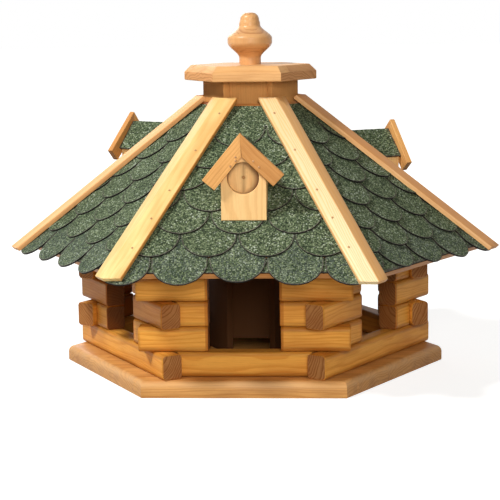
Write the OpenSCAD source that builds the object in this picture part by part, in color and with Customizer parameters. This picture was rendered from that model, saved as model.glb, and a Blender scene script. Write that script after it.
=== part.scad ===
// Six sided bird house: log walls, shingled roof with hip caps and dormers,
// a feed silo up the middle and a lift off lid with a turned knob.
// Millimetres. Origin at the bottom centre, +Z up, the front window faces -Y.
// Side numbers run anticlockwise seen from above: 0 front, 1 right front, 2 right back,
// 3 back, 4 left back, 5 left front.

/* [Base plate] */
// Base plate, flat to flat
base_flats = 402; // [385:5:420]
// Base plate thickness
base_t = 19; // [16:1:24]
// Radius of the base plate's upper edge
base_round = 8; // [5:1:10]

/* [Log walls] */
// Distance from the base plate's flat to the wall's outer face
wall_inset = 23; // [20:1:28]
// Log width across the wall
log_w = 24; // [20:1:26]
// Log height
log_h = 29; // [26:1:32]
// Radius of the log edges
log_round = 4; // [2:0.5:6]
// Window width between the short logs
window_w = 82; // [74:1:88]
// How far the long logs run past the corner on the right front, back and left front sides
log_over_a = 30; // [24:1:32]
// How far the long logs run past the corner on the front and both rear sides
log_over_b = 25.7; // [22:0.1:30]
// Strength of the hand cut differences between log ends
cut_vary = 1; // [0:0.1:1.2]
// Dowel diameter
dowel_d = 6; // [5:0.5:8]
// Clearance of the dowels in their holes, on the diameter
dowel_clear = 0.2; // [0.1:0.05:0.4]

/* [Feed silo] */
// Silo corner radius
silo_r = 57.8; // [54:0.2:62]
// Silo board thickness
silo_t = 8; // [6:0.5:9]
// Height of the three feed slots
slot_h = 18; // [12:1:24]
// Height of silo above the roof boards
neck_h = 26.6; // [22:0.1:34]

/* [Roof] */
// Roof slope in degrees
roof_pitch = 42.37; // [40:0.01:45]
// Distance from the wall's outer face to the eave
eave_out = 60; // [54:1:64]
// Height of the eave above the wall top
eave_up = 14.5; // [12:0.5:20]
// Roof board thickness
roof_t = 8; // [6:0.5:10]
// Gusset board thickness
gusset_t = 18; // [14:1:22]

/* [Shingles] */
// Shingle thickness
shingle_t = 1.8; // [1.5:0.1:2.2]
// How far the lowest row hangs over the eave
shingle_lip = 21; // [16:1:26]
// Visible height of the lowest row
first_show = 38; // [34:1:42]
// Visible height of the uncut top band
top_band = 75.4; // [68:0.1:82]
// Distance between neighbouring tabs
tab_pitch = 63.2; // [60:0.1:68]
// Slot between neighbouring tabs
tab_slot = 1.4; // [1:0.1:2.4]

/* [Hip caps] */
// Width of each strip of a hip cap
cap_w = 19.3; // [16:0.1:24]
// Thickness of a hip cap strip
cap_t = 5.5; // [4:0.5:8]
// How far the hip caps run past the eave
cap_out = 18.3; // [12:0.1:22]
// Gap in plan between the silo corner and the top of the ridge
cap_gap = 4.2; // [3:0.1:8]

/* [Dormers] */
// Dormer block width
dormer_w = 50.6; // [46:0.1:56]
// Height of the dormer block's ridge above its foot
dormer_h = 82.5; // [78:0.5:88]
// Slope of the dormer roof in degrees
dormer_pitch = 47; // [44:0.5:50]
// Diameter of the blind entrance hole
hole_d = 35.6; // [30:0.1:38]
// Depth of the blind entrance hole
hole_deep = 8; // [5:0.5:12]
// Dormer felt thickness
felt_t = 3; // [2:0.5:4]
// How far the felt runs past the block's sides
felt_over = 3; // [2:0.5:6]
// Length of a gable board
gable_l = 67; // [60:1:70]
// Width of a gable board
gable_w = 18; // [17:0.5:20]
// Thickness of a gable board
gable_t = 7; // [5:0.5:10]
// How far the pair of gable boards leans to the left, in degrees
gable_lean = 3.5; // [0:0.5:5]

/* [Lid] */
// How far the lid's corners stand out past the silo corners
lid_over = 22.3; // [16:0.1:26]
// Lid plate thickness
lid_t = 18.1; // [16:0.1:22]
// Height of the chamfer around the lid plate
lid_chamfer = 8; // [5:0.5:10]
// Depth of the plug inside the silo
plug_t = 12; // [9:1:16]
// Clearance between the plug and the recessed silo boards
plug_clear = 1; // [0.6:0.1:1.6]
// Height of the turned knob
knob_h = 62; // [56:1:70]
// Largest radius of the knob
knob_r = 27; // [24:0.5:30]

/* [Fasteners] */
// Nail shank diameter
nail_d = 1.8; // [1.4:0.1:2.2]
// Nail head diameter
nail_head = 2.6; // [2.2:0.1:3.6]
// Nail hole clearance on the diameter
nail_clear = 0.2; // [0.1:0.05:0.4]
// Knob screw diameter
screw_d = 5; // [4:0.5:6]

/* [Node] */
// Part to show, or all of them

/* [Hidden] */
$fn = 48;
c30 = cos(30);
t30 = tan(30);
base_a = base_flats / 2;
wall_a = base_a - wall_inset;
wall_mid = wall_a - log_w / 2;
wall_in = wall_a - log_w;
wall_top = base_t + 4 * log_h;
corner_x = wall_mid * t30;
corner_r = wall_mid / c30;
jamb_x = (window_w / 2 + (wall_in - wall_mid / 2) / c30) / 2;
silo_a = silo_r * c30;
eave_a = wall_a + eave_out;
eave_z = wall_top + eave_up;
// Vertical rise and slope length of the roof from the eave to the silo
neck_z = eave_z + (eave_a - silo_a) * tan(roof_pitch);
neck_s = (eave_a - silo_a) / cos(roof_pitch);
silo_top = neck_z + neck_h;
// Shingle rows lie two deep, each from its tip to the tip of the row after the next
rows = 7;
first_tip = first_show - shingle_lip;
row_show = (neck_s - top_band - first_tip) / (rows - 2);
nose_h = 2 * shingle_t + 0.1;
row_shift = [-2.8, 27.8, -4.6, 25.9, -6, 21, -9];
tab_r = (tab_pitch - tab_slot) / 2;
hip_gap = 0.3;
band_stop = 5.4;
// Hand laid work, by side: how far the boards pass the eave line, how much higher the rows lie,
// and how far the lowest row is set along the eave, set back from it and turned
eave_more = [2, 8, 3, 2, 3, 3];
rows_up = [1, 0, 0, 0, 0, 3.6];
low_along = [0, 8, 0, 0, 0, 14];
low_back = [0, 6.6, 2, 0, 2, 2.6];
low_turn = [0, -0.071, 0, 0, 0, 0.027];
// How much shorter the middle tab of the lowest row is cut
mid_cut = [4, 0, 0, 0, 0, 0];
// Cut length of each hip cap beyond the common length
cap_more = [3, 0, 0, 1.5, -2.6, 2.8];
// The starter strip lies on the boards behind the slots of the lowest row
starter_in = 0.4;
starter_w = first_tip + 1.6;
// Hip caps lie on the noses of the shingles
cap_lift = nose_h + shingle_t;
cap_top = cap_lift + cap_t;
hip_turn = atan(cos(roof_pitch) * t30);
cap_x0 = (eave_a + cap_top * sin(roof_pitch)) * t30;
cap_s1 = (eave_a + cap_top * sin(roof_pitch) - (silo_r + cap_gap) * c30) / cos(roof_pitch);
cap_run = cap_s1 / cos(hip_turn);
// Hip nails as fractions of the ridge's length above the eave
hip_nails = [0.118, 0.28, 0.439, 0.672, 0.897];
nail_in = 11;
// Dormers stand on the front, right back and left back slopes
dormer_face = [wall_a + 12.5, wall_a + 21, wall_a + 7];
dormer_x = [2.4, 6, -6];
dormer_half = dormer_w / 2;
dormer_wall = dormer_h - dormer_half * tan(dormer_pitch);
dormer_run = (dormer_h + 12) / tan(roof_pitch);
hole_x = -0.5;
hole_z = 0.572 * dormer_h;
gable_x = -3.1;
gable_z = dormer_h + 15.2;
gable_nails_left = [[23.5, 13], [26.5, 15.6], [35, 15]];
gable_nails_right = [[32, 12.5], [41, 13]];
peg_x = 12;
peg_s = 35;
peg_up = 15;
lid_a = (silo_r + lid_over) * c30;
lid_slope = 0.93 * lid_chamfer;
lid_top = silo_top + lid_t;
// Reach of the cutting blocks, well past the roof
far = 2 * (eave_a + shingle_lip);
plug_a = silo_a - 1.5 * silo_t - plug_clear;
screw_hole = screw_d + 0.4;
screw_head = 2 * screw_d;
screw_grip = 20;
nail_hole = nail_d + nail_clear;
dowel_hole = dowel_d + dowel_clear;
// Differences between hand cut log ends
ends = [0.8, -1.6, 1.4, -0.6, 2, -1.1, 0.3];
eps = 0.01;

// Height of a point at distance a from the axis, n above the roof boards
function plane_z(a, n) = eave_z + (eave_a - a) * tan(roof_pitch) + n / cos(roof_pitch);
// Half width of a roof slope at slope distance s
function half_w(s) = (eave_a - s * cos(roof_pitch)) * t30;
function tip(i) = i == 0 ? -shingle_lip : first_tip + (i - 1) * row_show;
function side_tip(side, i) = i == 0 ? tip(0) : tip(i) + rows_up[side];
function row_len(side, i) =
  i == rows - 1 ? neck_s - band_stop - side_tip(side, i) : side_tip(side, i + 2) - side_tip(side, i);
function vary(side, level, end) = cut_vary * ends[(side * 5 + level * 3 + end * 2) % 7];
function side_a(side) = side % 2 == 1;
function is_long(side, level) = side_a(side) == (level % 2 == 0);
function over(side) = side_a(side) ? log_over_a : log_over_b;
// Place of a hip nail on a slope, measured from the middle of the eave
function hip_nail(f) = [
  cap_x0 - f * cap_run * sin(hip_turn) - nail_in * cos(hip_turn),
  f * cap_run * cos(hip_turn) - nail_in * sin(hip_turn)
];
function blend(z, z0, z1, r0, r1) = r0 + (r1 - r0) * (1 - cos(180 * (z - z0) / (z1 - z0))) / 2;
// Knob radius by height, drawn for a 62 mm knob of 27 mm radius
function knob_shape(z) =
  z < 7.5 ? 13.2 :
  z < 26.5 ? blend(z, 7.5, 26.5, 13.2, 27) :
  z < 31 ? 27 :
  z < 47.5 ? blend(z, 31, 47.5, 27, 12.8) :
  z < 57 ? blend(z, 47.5, 57, 12.8, 10.8) :
  5 + 5.8 * sqrt(max(0, 1 - pow((z - 56) / 6, 2)));

module hexagon(a) {
  polygon([for (i = [0:5]) a / c30 * [cos(60 * i), sin(60 * i)]]);
}

module hex_prism(a, z0, z1) {
  translate([0, 0, z0])
    linear_extrude(z1 - z0)
      hexagon(a);
}

module bore(d, z0, z1) {
  translate([0, 0, z0])
    cylinder(d = d, h = z1 - z0);
}

// Lays children on one roof slope: x along the eave, y up the slope, z out of the boards
module slope(side) {
  rotate([0, 0, 60 * side])
    translate([0, -eave_a, eave_z])
      rotate([roof_pitch, 0, 0])
        children();
}

// Upright wedge between two hips, drawn in from both by the inset
module sector(side, inset = 0) {
  rotate([0, 0, 60 * side])
    translate([0, -2 * inset, -10])
      linear_extrude(2 * far)
        polygon([[0, 0], [-far * t30, -far], [far * t30, -far]]);
}

module at_corners() {
  for (k = [0:5])
    rotate([0, 0, 60 * k])
      translate([corner_r, 0, 0])
        children();
}

module at_jambs(side) {
  rotate([0, 0, 60 * side])
    for (x = [-jamb_x, jamb_x])
      translate([x, -wall_mid, 0])
        children();
}

// Places of the hip nails on one slope
module at_hip_nails(side) {
  slope(side)
    for (f = hip_nails, m = [-1, 1])
      translate([m * hip_nail(f)[0], hip_nail(f)[1], 0])
        children();
}

// Places of the two pegs under a dormer, on its slope
module at_pegs(i) {
  slope(2 * i)
    for (x = [-peg_x, peg_x])
      translate([dormer_x[i] + x, (eave_a - dormer_face[i]) / cos(roof_pitch) + peg_s, 0])
        children();
}

module base_profile() {
  square_w = 2 * (base_a - base_round);
  translate([-base_a, 0])
    square([2 * base_a, base_t - base_round]);
  translate([-square_w / 2, 0])
    square([square_w, base_t]);
  for (m = [-1, 1])
    translate([m * (base_a - base_round), base_t - base_round])
      circle(r = base_round);
}

module base_plate() {
  color("#b98a55")
    difference() {
      intersection_for (k = [0:2])
        rotate([0, 0, 60 * k])
          translate([-far, 0, 0])
            rotate([90, 0, 90])
              linear_extrude(2 * far)
                base_profile();
      at_corners()
        bore(dowel_hole, base_t - 10, base_t + 1);
      for (side = [0:5])
        at_jambs(side)
          bore(dowel_hole, base_t - 10, base_t + 1);
    }
}

module log_profile() {
  w = log_w - 2 * log_round;
  h = log_h - 2 * log_round;
  translate([-log_w / 2, log_round])
    square([log_w, h]);
  translate([-w / 2, 0])
    square([w, log_h]);
  for (x = [-w / 2, w / 2], y = [log_round, log_h - log_round])
    translate([x, y])
      circle(r = log_round);
}

// One log of a side from x0 to x1, with its dowel holes and flush cut butt ends
module log_bar(side, level, x0, x1) {
  z0 = base_t + level * log_h;
  difference() {
    rotate([0, 0, 60 * side])
      translate([x0, -wall_mid, z0])
        rotate([90, 0, 90])
          linear_extrude(x1 - x0)
            log_profile();
    if (!is_long(side, level))
      for (m = [-1, 1])
        rotate([0, 0, 60 * (side + m)])
          translate([-far, -wall_in - far, z0 - 1])
            cube([2 * far, far, log_h + 2]);
    at_jambs(side)
      bore(dowel_hole, z0 - 1, level == 3 ? z0 + log_h - 5 : z0 + log_h + 1);
    if (is_long(side, level))
      at_corners()
        bore(dowel_hole, z0 - 1, z0 + log_h + 1);
  }
}

function log_end(side, level, end) =
  is_long(side, level) ? corner_x + over(side) + vary(side, level, end) : corner_x + 20;

module sill_log(side) {
  color("#c98640")
    log_bar(side, 0, -log_end(side, 0, 0), log_end(side, 0, 1));
}

module short_logs(side, level) {
  half = window_w / 2;
  color(level % 2 == 0 ? "#c98640" : "#bf7a38") {
    log_bar(side, level, -log_end(side, level, 0), -half - vary(side, level, 2) * 0.4);
    log_bar(side, level, half + vary(side, level, 3) * 0.4, log_end(side, level, 1));
  }
}

module front_sill_log() sill_log(0);
module right_front_sill_log() sill_log(1);
module right_back_sill_log() sill_log(2);
module back_sill_log() sill_log(3);
module left_back_sill_log() sill_log(4);
module left_front_sill_log() sill_log(5);
module front_low_logs() short_logs(0, 1);
module front_mid_logs() short_logs(0, 2);
module front_top_logs() short_logs(0, 3);
module right_front_low_logs() short_logs(1, 1);
module right_front_mid_logs() short_logs(1, 2);
module right_front_top_logs() short_logs(1, 3);
module right_back_low_logs() short_logs(2, 1);
module right_back_mid_logs() short_logs(2, 2);
module right_back_top_logs() short_logs(2, 3);
module back_low_logs() short_logs(3, 1);
module back_mid_logs() short_logs(3, 2);
module back_top_logs() short_logs(3, 3);
module left_back_low_logs() short_logs(4, 1);
module left_back_mid_logs() short_logs(4, 2);
module left_back_top_logs() short_logs(4, 3);
module left_front_low_logs() short_logs(5, 1);
module left_front_mid_logs() short_logs(5, 2);
module left_front_top_logs() short_logs(5, 3);

// Corner dowels run up into the gussets, jamb dowels stop inside the top logs,
// and two pegs hold each dormer block to its slope
module dowels() {
  color("#d9bd8c") {
    at_corners()
      bore(dowel_d, base_t - 10, wall_top + 20);
    for (side = [0:5])
      at_jambs(side)
        bore(dowel_d, base_t - 10, wall_top - 6);
    for (i = [0:2])
      at_pegs(i)
        bore(dowel_d, 1 - roof_t, cap_lift + peg_up);
  }
}

// Three full height boards with square edges
module silo_tall_boards() {
  color("#a9835a")
    for (side = [1, 3, 5])
      rotate([0, 0, 60 * side])
        translate([-silo_r / 2, -silo_a, base_t])
          cube([silo_r, silo_t, silo_top - base_t]);
}

// Three boards set back between the tall ones, ending above the floor
module silo_short_boards() {
  x0 = silo_r / 2 - silo_t * c30;
  y0 = silo_a - silo_t / 2;
  color("#a17b52")
    for (side = [0, 2, 4])
      rotate([0, 0, 60 * side])
        translate([0, 0, base_t + slot_h])
          linear_extrude(silo_top - base_t - slot_h)
            polygon([
              [-x0, -y0],
              [x0, -y0],
              [x0 + silo_t * t30, silo_t - y0],
              [-x0 - silo_t * t30, silo_t - y0]
            ]);
}

module roof_board(side) {
  color("#a87b4b")
    difference() {
      intersection() {
        slope(side)
          translate([-far, -eave_more[side], -roof_t])
            cube([2 * far, far, roof_t]);
        sector(side);
      }
      rotate([0, 0, 60 * side])
        translate([-far, -silo_a, 0])
          cube([2 * far, far, far]);
      if (!side_a(side)) {
        at_hip_nails(side)
          bore(nail_hole, -roof_t - 1, 1);
        at_pegs(side / 2)
          bore(dowel_hole, -roof_t - 1, 1);
      }
    }
}

module front_roof_board() roof_board(0);
module right_front_roof_board() roof_board(1);
module right_back_roof_board() roof_board(2);
module back_roof_board() roof_board(3);
module left_back_roof_board() roof_board(4);
module left_front_roof_board() roof_board(5);

// Upright boards on the corner crossings, cut to carry the roof boards along each hip
module roof_gussets() {
  r0 = wall_in / c30 - 28;
  r1 = eave_a / c30 - 13;
  color("#a57443")
    for (k = [0:5])
      rotate([0, 0, 60 * k])
        difference() {
          translate([r0, -gusset_t / 2, wall_top])
            cube([r1 - r0, gusset_t, far]);
          for (m = [1, 2])
            slope(m)
              translate([-far, -far, -roof_t])
                cube([2 * far, 3 * far, far]);
          translate([corner_r, 0, 0])
            bore(dowel_hole, wall_top - 1, wall_top + 21);
        }
}

// Outline of one row: rounded tabs hanging from an uncut strip
module row_outline(side, i) {
  show = i == 0 ? side_tip(side, 1) - tip(0) : row_show;
  strip = show + 2;
  reach = half_w(tip(i) + 18);
  for (k = [-4:4]) {
    x = row_shift[i] + (i == 0 ? low_along[side] : 0) + k * tab_pitch;
    short = k == 0 ? mid_cut[side] : 0;
    up = i == 0 ? low_back[side] + low_turn[side] * x + short : 0;
    if (abs(x) - tab_r < reach - 3) {
      intersection() {
        translate([x, tab_r + up])
          circle(r = tab_r);
        translate([x - tab_r, up])
          square([2 * tab_r, tab_r + eps]);
      }
      translate([x - tab_r, tab_r + up])
        square([2 * tab_r, max(strip - tab_r - up, 0) + eps]);
    }
    xs = x + tab_pitch / 2;
    if (abs(xs) > half_w(tip(i) + strip) - 5)
      translate([xs - 5, 18])
        square([10, strip - 18 + eps]);
  }
  translate([-far, strip])
    square([2 * far, row_len(side, i) - strip]);
}

module shingles(side) {
  color("#4f7a45")
    difference() {
      intersection() {
        slope(side) {
          translate([-far, starter_in - eave_more[side], 0])
            cube([2 * far, starter_w + eave_more[side], shingle_t]);
          for (i = [0:rows - 1])
            translate([0, side_tip(side, i), nose_h])
              rotate([-asin(nose_h / row_len(side, i)), 0, 0])
                linear_extrude(shingle_t)
                  row_outline(side, i);
        }
        sector(side, hip_gap / 2);
      }
      if (!side_a(side)) {
        at_hip_nails(side)
          bore(nail_hole, -1, cap_lift + 1);
        at_pegs(side / 2)
          bore(dowel_hole, -1, cap_lift + 1);
      }
    }
}

module front_shingles() shingles(0);
module right_front_shingles() shingles(1);
module right_back_shingles() shingles(2);
module back_shingles() shingles(3);
module left_back_shingles() shingles(4);
module left_front_shingles() shingles(5);

// Outline of one strip on a slope, running past the hip so that the mitre can be cut
module cap_outline(more) {
  u = [-sin(hip_turn), cos(hip_turn)];
  v = [-cos(hip_turn), -sin(hip_turn)];
  p0 = [cap_x0, 0];
  out = cap_out + more;
  k_low = (cap_w * sin(hip_turn) - out) / cos(hip_turn);
  top = p0 + cap_run * u;
  polygon([
    p0 + cap_w * v + k_low * u,
    [cap_x0 + 60, -out],
    top - 60 * v,
    top + cap_w * v
  ]);
}

// Half of a hip cap, with the hip along +X and the slope's foot towards -Y
module cap_half(more) {
  intersection() {
    slope(1)
      translate([0, 0, cap_lift])
        linear_extrude(cap_t)
          cap_outline(more);
    translate([0, -200, 0])
      cube([400, 200, 600]);
  }
}

// Hip number k stands at 60 * k degrees from +X. The nails go in on one strip only
module hip_cap(k) {
  side = k % 2 == 0 ? (k + 2) % 6 : (k + 1) % 6;
  color("#d9b98a")
    difference() {
      rotate([0, 0, 60 * k]) {
        cap_half(cap_more[k]);
        mirror([0, 1, 0])
          cap_half(cap_more[k]);
      }
      at_hip_nails(side)
        bore(nail_hole, 1, cap_top + 1);
    }
}

module right_hip_cap() hip_cap(0);
module right_back_hip_cap() hip_cap(1);
module left_back_hip_cap() hip_cap(2);
module left_hip_cap() hip_cap(3);
module left_front_hip_cap() hip_cap(4);
module right_front_hip_cap() hip_cap(5);

// Origin at the foot of a dormer's face, y into the roof, z up
module dormer_frame(i) {
  rotate([0, 0, 120 * i])
    translate([dormer_x[i], -dormer_face[i], plane_z(dormer_face[i], cap_lift)])
      children();
}

// Everything below the shingle noses, seen from a dormer's frame
module below_noses() {
  rotate([roof_pitch, 0, 0])
    translate([-far, -far, -far])
      cube([2 * far, 3 * far, far]);
}

// Runs an outline drawn in x and z back into the roof
module run_back(depth) {
  translate([0, depth, 0])
    rotate([90, 0, 0])
      linear_extrude(depth)
        children();
}

module at_gable_nails() {
  translate([gable_x, 0, gable_z])
    rotate([0, -gable_lean, 0])
      for (m = [-1, 1], p = m < 0 ? gable_nails_left : gable_nails_right)
        translate([
          m * (p[0] * cos(dormer_pitch) - p[1] * sin(dormer_pitch)),
          0,
          -p[0] * sin(dormer_pitch) - p[1] * cos(dormer_pitch)
        ])
          rotate([90, 0, 0])
            children();
}

module dormer_block(i) {
  color("#dcc0a0")
    difference() {
      dormer_frame(i)
        difference() {
          run_back(dormer_run)
            polygon([
              [-dormer_half, -20],
              [dormer_half, -20],
              [dormer_half, dormer_wall],
              [0, dormer_h],
              [-dormer_half, dormer_wall]
            ]);
          below_noses();
          translate([hole_x, 0, hole_z])
            rotate([90, 0, 0]) {
              bore(hole_d, -hole_deep, 1);
              bore(2.4, -hole_deep - 2, 1);
            }
          at_gable_nails()
            bore(nail_hole, -16, 1);
        }
      at_pegs(i)
        bore(dowel_hole, 0, cap_lift + peg_up + 1);
    }
}

module front_dormer_block() dormer_block(0);
module right_back_dormer_block() dormer_block(1);
module left_back_dormer_block() dormer_block(2);

// Two boards with an upright mitre, in front of the block's face
module gable_boards(i) {
  d = [cos(dormer_pitch), -sin(dormer_pitch)];
  p = [-sin(dormer_pitch), -cos(dormer_pitch)];
  low = gable_l * d;
  fine = 0.05;
  color("#d2a477")
    dormer_frame(i)
      difference() {
        translate([gable_x, 0, gable_z])
          rotate([0, -gable_lean, 0])
            for (m = [0, 1])
              mirror([m, 0, 0])
                rotate([90, 0, 0])
                  linear_extrude(gable_t)
                    polygon([
                      [fine, -fine * tan(dormer_pitch)],
                      low,
                      low + gable_w * p,
                      [fine, -gable_w / cos(dormer_pitch) - fine * tan(dormer_pitch)]
                    ]);
        at_gable_nails()
          bore(nail_hole, -1, gable_t + 1);
      }
}

module front_gable_boards() gable_boards(0);
module right_back_gable_boards() gable_boards(1);
module left_back_gable_boards() gable_boards(2);

module dormer_felts() {
  t = tan(dormer_pitch);
  xe = dormer_half + felt_over;
  nx = felt_t * sin(dormer_pitch);
  nz = felt_t * cos(dormer_pitch);
  color("#4c7642")
    for (i = [0:2])
      dormer_frame(i)
        difference() {
          run_back(dormer_run)
            polygon([
              [0, dormer_h],
              [xe, dormer_h - xe * t],
              [xe + nx, dormer_h - xe * t + nz],
              [0, dormer_h + felt_t / cos(dormer_pitch)],
              [-xe - nx, dormer_h - xe * t + nz],
              [-xe, dormer_h - xe * t]
            ]);
          below_noses();
        }
}

module nail(low, top) {
  bore(nail_d, low, top);
  bore(nail_head, top, top + 0.8);
}

module nails() {
  color("#77706a") {
    for (side = [0, 2, 4])
      at_hip_nails(side)
        nail(1 - roof_t, cap_top);
    for (i = [0:2])
      dormer_frame(i)
        at_gable_nails()
          nail(-15, gable_t);
  }
}

module lid_profile() {
  polygon([
    [-lid_a, 0],
    [lid_a, 0],
    [lid_a, lid_t - lid_chamfer],
    [lid_a - lid_slope, lid_t],
    [lid_slope - lid_a, lid_t],
    [-lid_a, lid_t - lid_chamfer]
  ]);
}

module lid_plate() {
  color("#cfa884")
    difference() {
      intersection_for (k = [0:2])
        rotate([0, 0, 60 * k])
          translate([-200, 0, silo_top])
            rotate([90, 0, 90])
              linear_extrude(400)
                lid_profile();
      bore(screw_hole, silo_top - 1, lid_top + 1);
    }
}

module lid_plug() {
  color("#c19a6b")
    difference() {
      hex_prism(plug_a, silo_top - plug_t, silo_top);
      bore(screw_hole, silo_top - plug_t - 1, silo_top + 1);
      bore(screw_head + 1, silo_top - plug_t - 1, silo_top - plug_t + 5);
    }
}

module lid_knob() {
  n = 42;
  kr = knob_r / 27;
  kh = knob_h / 62;
  color("#d6ad86")
    translate([0, 0, lid_top])
      difference() {
        rotate_extrude($fn = 64)
          polygon(concat(
            [[0, 0]],
            [for (j = [0:n]) [kr * knob_shape(62 * j / n), kh * 62 * j / n]],
            [[0, knob_h]]
          ));
        bore(screw_d + 0.2, -1, screw_grip + 1.5);
      }
}

module knob_screw() {
  seat = silo_top - plug_t + 5;
  color("#8d8f92") {
    bore(screw_head, seat - 0.6 * screw_d, seat);
    bore(screw_d, seat - eps, lid_top + screw_grip);
  }
}

base_plate();
front_sill_log();
right_front_sill_log();
right_back_sill_log();
back_sill_log();
left_back_sill_log();
left_front_sill_log();
front_low_logs();
front_mid_logs();
front_top_logs();
right_front_low_logs();
right_front_mid_logs();
right_front_top_logs();
right_back_low_logs();
right_back_mid_logs();
right_back_top_logs();
back_low_logs();
back_mid_logs();
back_top_logs();
left_back_low_logs();
left_back_mid_logs();
left_back_top_logs();
left_front_low_logs();
left_front_mid_logs();
left_front_top_logs();
dowels();
silo_tall_boards();
silo_short_boards();
front_roof_board();
right_front_roof_board();
right_back_roof_board();
back_roof_board();
left_back_roof_board();
left_front_roof_board();
roof_gussets();
front_shingles();
right_front_shingles();
right_back_shingles();
back_shingles();
left_back_shingles();
left_front_shingles();
right_hip_cap();
right_back_hip_cap();
left_back_hip_cap();
left_hip_cap();
left_front_hip_cap();
right_front_hip_cap();
front_dormer_block();
right_back_dormer_block();
left_back_dormer_block();
front_gable_boards();
right_back_gable_boards();
left_back_gable_boards();
dormer_felts();
nails();
lid_plate();
lid_plug();
lid_knob();
knob_screw();
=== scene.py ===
"""Six sided bird house, dressed over its CAD frame.

Lengths in the builders are millimetres in each piece's own frame and become metres at the end.
"""
import math
import random

import bmesh
import bpy
from mathutils import Matrix, Vector, noise


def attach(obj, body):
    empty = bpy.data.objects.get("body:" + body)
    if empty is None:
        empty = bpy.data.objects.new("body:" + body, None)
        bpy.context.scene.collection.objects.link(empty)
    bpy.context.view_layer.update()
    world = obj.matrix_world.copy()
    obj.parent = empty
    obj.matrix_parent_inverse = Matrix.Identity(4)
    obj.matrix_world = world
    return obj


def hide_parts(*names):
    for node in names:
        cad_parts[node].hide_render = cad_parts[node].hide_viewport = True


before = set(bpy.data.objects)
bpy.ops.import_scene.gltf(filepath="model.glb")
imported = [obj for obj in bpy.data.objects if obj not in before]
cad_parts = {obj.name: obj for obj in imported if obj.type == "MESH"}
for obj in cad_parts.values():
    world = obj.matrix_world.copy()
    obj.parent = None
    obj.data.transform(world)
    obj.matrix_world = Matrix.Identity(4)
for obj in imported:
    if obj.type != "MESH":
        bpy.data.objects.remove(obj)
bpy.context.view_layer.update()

# Sizes of the house, the same as the solids
SIDES = ["front", "right_front", "right_back", "back", "left_back", "left_front"]
HIPS = ["right", "right_back", "left_back", "left", "left_front", "right_front"]
C30 = math.cos(math.radians(30))
T30 = math.tan(math.radians(30))
BASE_A, BASE_T, BASE_ROUND = 201.0, 19.0, 8.0
WALL_A, LOG_W, LOG_H, LOG_ROUND = 178.0, 24.0, 29.0, 4.0
WALL_MID, WALL_IN = WALL_A - LOG_W / 2, WALL_A - LOG_W
WINDOW = 82.0
WALL_TOP = BASE_T + 4 * LOG_H
PITCH = math.radians(42.37)
EAVE_A, EAVE_Z = WALL_A + 60.0, WALL_TOP + 14.5
# Half the angle by which two slopes' boards lean away from each other
HIP_LEAN = math.acos(math.cos(PITCH) ** 2 + math.sin(PITCH) ** 2 / 2) / 2
SILO_R, SILO_T = 57.8, 8.0
SILO_A = SILO_R * C30
NECK_Z = EAVE_Z + (EAVE_A - SILO_A) * math.tan(PITCH)
NECK_S = (EAVE_A - SILO_A) / math.cos(PITCH)
SILO_TOP = NECK_Z + 26.6
SLOT_H = 18.0
ROWS, SHINGLE_T = 7, 1.8
LIP, FIRST_SHOW, TOP_BAND = 21.0, 38.0, 75.4
FIRST_TIP = FIRST_SHOW - LIP
ROW_SHOW = (NECK_S - TOP_BAND - FIRST_TIP) / (ROWS - 2)
NOSE = 2 * SHINGLE_T + 0.1
SHIFT = [-2.8, 27.8, -4.6, 25.9, -6.0, 21.0, -9.0]
TAB_PITCH, TAB_SLOT = 63.2, 1.4
TAB_R = (TAB_PITCH - TAB_SLOT) / 2
CAP_W, CAP_T, CAP_OUT, CAP_GAP = 19.3, 5.5, 18.3, 4.2
LIFT = NOSE + SHINGLE_T
CAP_TOP = LIFT + CAP_T
HIP_TURN = math.atan(math.cos(PITCH) * T30)
CAP_X0 = (EAVE_A + CAP_TOP * math.sin(PITCH)) * T30
CAP_S1 = (EAVE_A + CAP_TOP * math.sin(PITCH) - (SILO_R + CAP_GAP) * C30) / math.cos(PITCH)
CAP_RUN = CAP_S1 / math.cos(HIP_TURN)
# The caps end on a level line this far short of that, measured up the slope
CAP_TRIM = 5.2
HIP_NAILS = [0.118, 0.28, 0.439, 0.672, 0.897]
NAIL_IN = 11.0
# Hand laid work, by side: how far the boards run on at the eave, how much higher the rows start, how
# far the lowest row is moved along and set back and how it turns, the cut in its middle tab, and how
# far the tabs above have curled. Then, by hip, how far each cap runs on
EAVE_MORE = [2, 8, 3, 2, 3, 3]
ROWS_UP = [1, 0, 0, 0, 0, 3.6]
LOW_ALONG = [0, 8, 0, 0, 0, 14]
LOW_BACK = [0, 6.6, 2, 0, 2, 2.6]
LOW_TURN = [0, -0.071, 0, 0, 0, 0.027]
MID_CUT = [4, 0, 0, 0, 0, 0]
CURL = [0, 1.1, 0.2, 0, 0, 0.2]
CAP_MORE = [3, 0, 0, 1.5, -2.6, 2.8]
DORMER_FACE = [WALL_A + 12.5, WALL_A + 21.0, WALL_A + 7.0]
DORMER_X = [2.4, 6.0, -6.0]
DORMER_HALF, DORMER_H = 25.3, 82.5
DORMER_PITCH = math.radians(47)
DORMER_COS, DORMER_SIN = math.cos(DORMER_PITCH), math.sin(DORMER_PITCH)
DORMER_WALL = DORMER_H - DORMER_HALF * math.tan(DORMER_PITCH)
DORMER_FELT_T, DORMER_FELT_OUT = 3.0, 3.0
HOLE_X, HOLE_Z, HOLE_R, HOLE_DEEP = -0.5, 0.572 * DORMER_H, 17.8, 8.0
GABLE_X, GABLE_Z = -3.1, DORMER_H + 15.2
GABLE_L, GABLE_W, GABLE_T = 67.0, 18.0, 7.0
GABLE_LEAN = math.radians(3.5)
NAILS_LEFT = [(23.5, 13.0), (26.5, 15.6), (35.0, 15.0)]
NAILS_RIGHT = [(32.0, 12.5), (41.0, 13.0)]
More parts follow.
